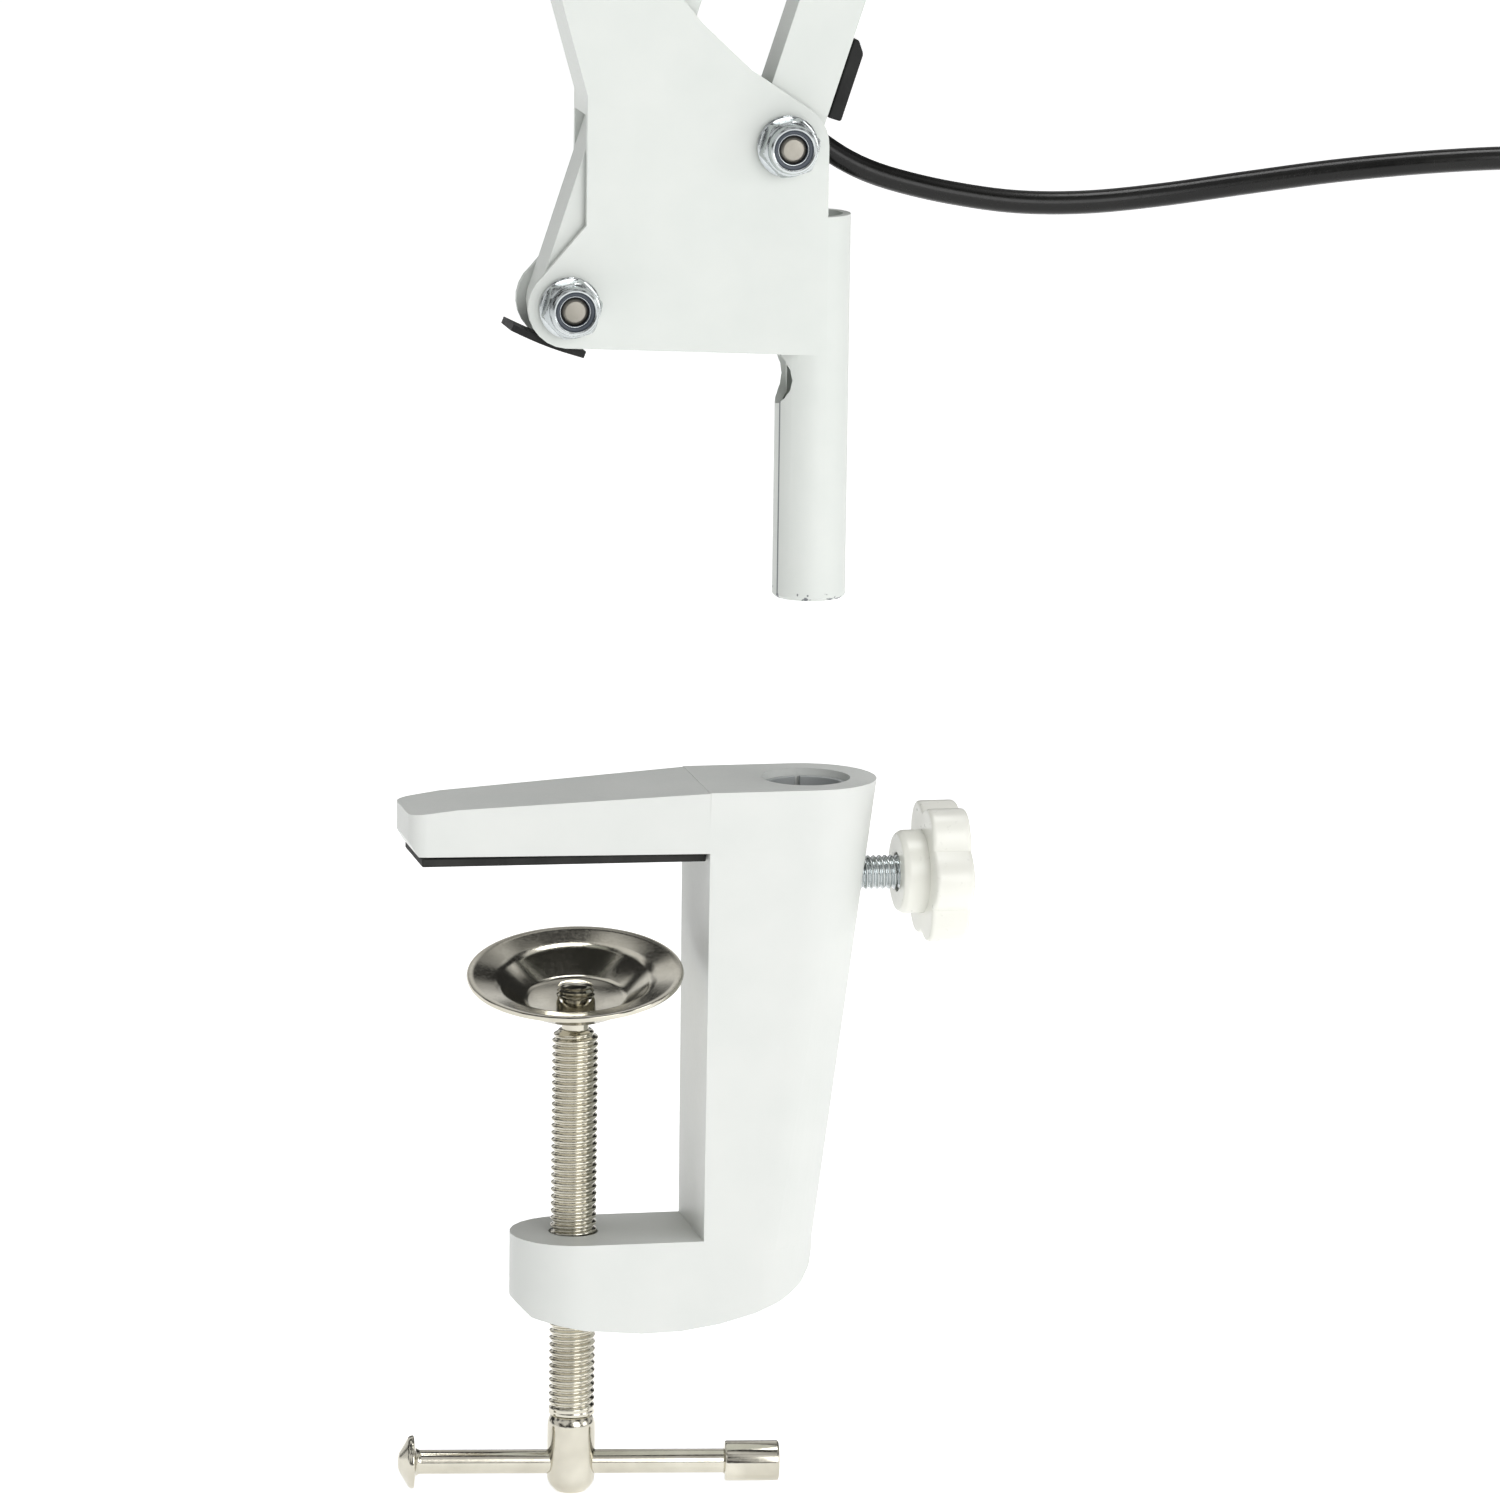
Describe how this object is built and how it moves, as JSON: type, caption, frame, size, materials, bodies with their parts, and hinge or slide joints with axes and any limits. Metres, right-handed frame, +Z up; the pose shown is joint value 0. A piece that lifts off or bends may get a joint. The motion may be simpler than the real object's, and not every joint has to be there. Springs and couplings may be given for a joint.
{
  "type": "swing arm desk lamp",
  "caption": "Parallel-arm desk lamp with bell shade, sheet-metal yoke and round post, shown lifted clear of its C-shaped desk clamp with screw, disc and thumb knob.",
  "frame": {"origin": "on the desk face under the clamp's upper jaw, straight below the post's axis", "axes": "+Z up along the post, +X away from the desk, arms swing in the XZ plane"},
  "size_m": [0.4233, 0.16, 0.7818],
  "materials": {
    "cast_white": "satin powder coat",
    "sheet_white": "satin powder coat",
    "nickel_steel": "bright nickel plate",
    "zinc_steel": "bright zinc plate",
    "knob_plastic": "moulded semi-gloss",
    "liner_grey": "moulded",
    "pad_rubber": "matt",
    "guard_black": "matt",
    "cord_black": "semi-gloss sheath",
    "bulb_opal": "opal"
  },
  "bodies": {
    "clamp": {"clamp_frame": "cast_white", "jaw_pad": "pad_rubber"},
    "disc": {"pressure_disc": "nickel_steel"},
    "screw": {"clamp_screw": "nickel_steel"},
    "bar": {"tommy_bar": "nickel_steel"},
    "knob": {"thumb_screw": "zinc_steel", "thumb_knob": "knob_plastic"},
    "liner": {"socket_liner": "liner_grey"},
    "yoke": {"yoke": "sheet_white", "yoke_bolt_1": "nickel_steel", "yoke_nut_1": "zinc_steel", "yoke_bolt_2": "nickel_steel", "yoke_nut_2": "zinc_steel", "cord": "cord_black", "cord_hank": "cord_black", "plug": "cord_black"},
    "lower_main": {"lower_main_arm": "sheet_white", "cord_guard": "guard_black"},
    "lower_link": {"lower_link_arm": "sheet_white"},
    "elbow": {"elbow_plates": "sheet_white", "elbow_bolt_1": "nickel_steel", "elbow_bolt_2": "nickel_steel", "elbow_bolt_3": "nickel_steel", "elbow_bolt_4": "nickel_steel", "elbow_nut_1": "zinc_steel", "elbow_nut_2": "zinc_steel", "elbow_nut_3": "zinc_steel", "elbow_nut_4": "zinc_steel"},
    "upper_main": {"upper_main_arm": "sheet_white"},
    "upper_link": {"upper_link_arm": "sheet_white"},
    "head": {"head_plates": "sheet_white", "head_bolt_1": "nickel_steel", "head_bolt_2": "nickel_steel", "head_bolt_3": "nickel_steel", "head_nut_1": "zinc_steel", "head_nut_2": "zinc_steel", "head_nut_3": "zinc_steel"},
    "shade": {"shade_cap": "sheet_white", "lamp_shade": "sheet_white", "lamp_holder": "guard_black", "bulb": "bulb_opal"}
  },
  "joints": [
    {"name": "screw_travel", "type": "slide", "parent": "clamp", "child": "disc", "axis": [0, 0, 1], "range_m": [-0.02, 0.0155]},
    {"name": "screw_turn", "type": "hinge", "parent": "disc", "child": "screw", "pos_m": [-0.0397, 0, -0.03], "axis": [0, 0, 1], "range_deg": [-6000, 6000]},
    {"name": "bar_slide", "type": "slide", "parent": "screw", "child": "bar", "axis": [0.9903, -0.1392, 0], "range_m": [-0.019, 0.012]},
    {"name": "knob_turn", "type": "hinge", "parent": "clamp", "child": "knob", "pos_m": [0.02, 0, -0.0066], "axis": [1, 0, 0], "range_deg": [-180, 180]},
    {"name": "post_swivel", "type": "hinge", "parent": "clamp", "child": "liner", "pos_m": [0, 0, 0], "axis": [0, 0, 1], "range_deg": [-150, 150]},
    {"name": "post_lift", "type": "slide", "parent": "liner", "child": "yoke", "axis": [0, 0, 1], "range_m": [-0.057, 0]},
    {"name": "lower_lift", "type": "hinge", "parent": "yoke", "child": "lower_main", "pos_m": [-0.0062, 0, 0.12], "axis": [0, 1, 0], "range_deg": [0, 10]},
    {"name": "lower_link_turn", "type": "hinge", "parent": "yoke", "child": "lower_link", "pos_m": [-0.0432, 0, 0.0932], "axis": [0, 1, 0], "range_deg": [0, 10]},
    {"name": "elbow_level", "type": "hinge", "parent": "lower_main", "child": "elbow", "pos_m": [0.10505, 0, 0.46238], "axis": [0, 1, 0], "range_deg": [-10, 0]},
    {"name": "upper_lift", "type": "hinge", "parent": "elbow", "child": "upper_main", "pos_m": [0.07605, 0, 0.46558], "axis": [0, 1, 0], "range_deg": [-20, 4]},
    {"name": "upper_link_turn", "type": "hinge", "parent": "elbow", "child": "upper_link", "pos_m": [0.09705, 0, 0.48438], "axis": [0, 1, 0], "range_deg": [-20, 4]},
    {"name": "head_level", "type": "hinge", "parent": "upper_main", "child": "head", "pos_m": [-0.20381, 0, 0.64045], "axis": [0, 1, 0], "range_deg": [-4, 20]},
    {"name": "shade_tilt", "type": "hinge", "parent": "head", "child": "shade", "pos_m": [-0.22981, 0, 0.63445], "axis": [0, 1, 0], "range_deg": [-2, 40]}
  ],
  "couplings": [
    {"joint": "screw_turn", "follows": "screw_travel", "rad_per_m": 5026.5},
    {"joint": "lower_link_turn", "follows": "lower_lift", "ratio": 1},
    {"joint": "elbow_level", "follows": "lower_lift", "ratio": -1},
    {"joint": "upper_link_turn", "follows": "upper_lift", "ratio": 1},
    {"joint": "head_level", "follows": "upper_lift", "ratio": -1}
  ]
}
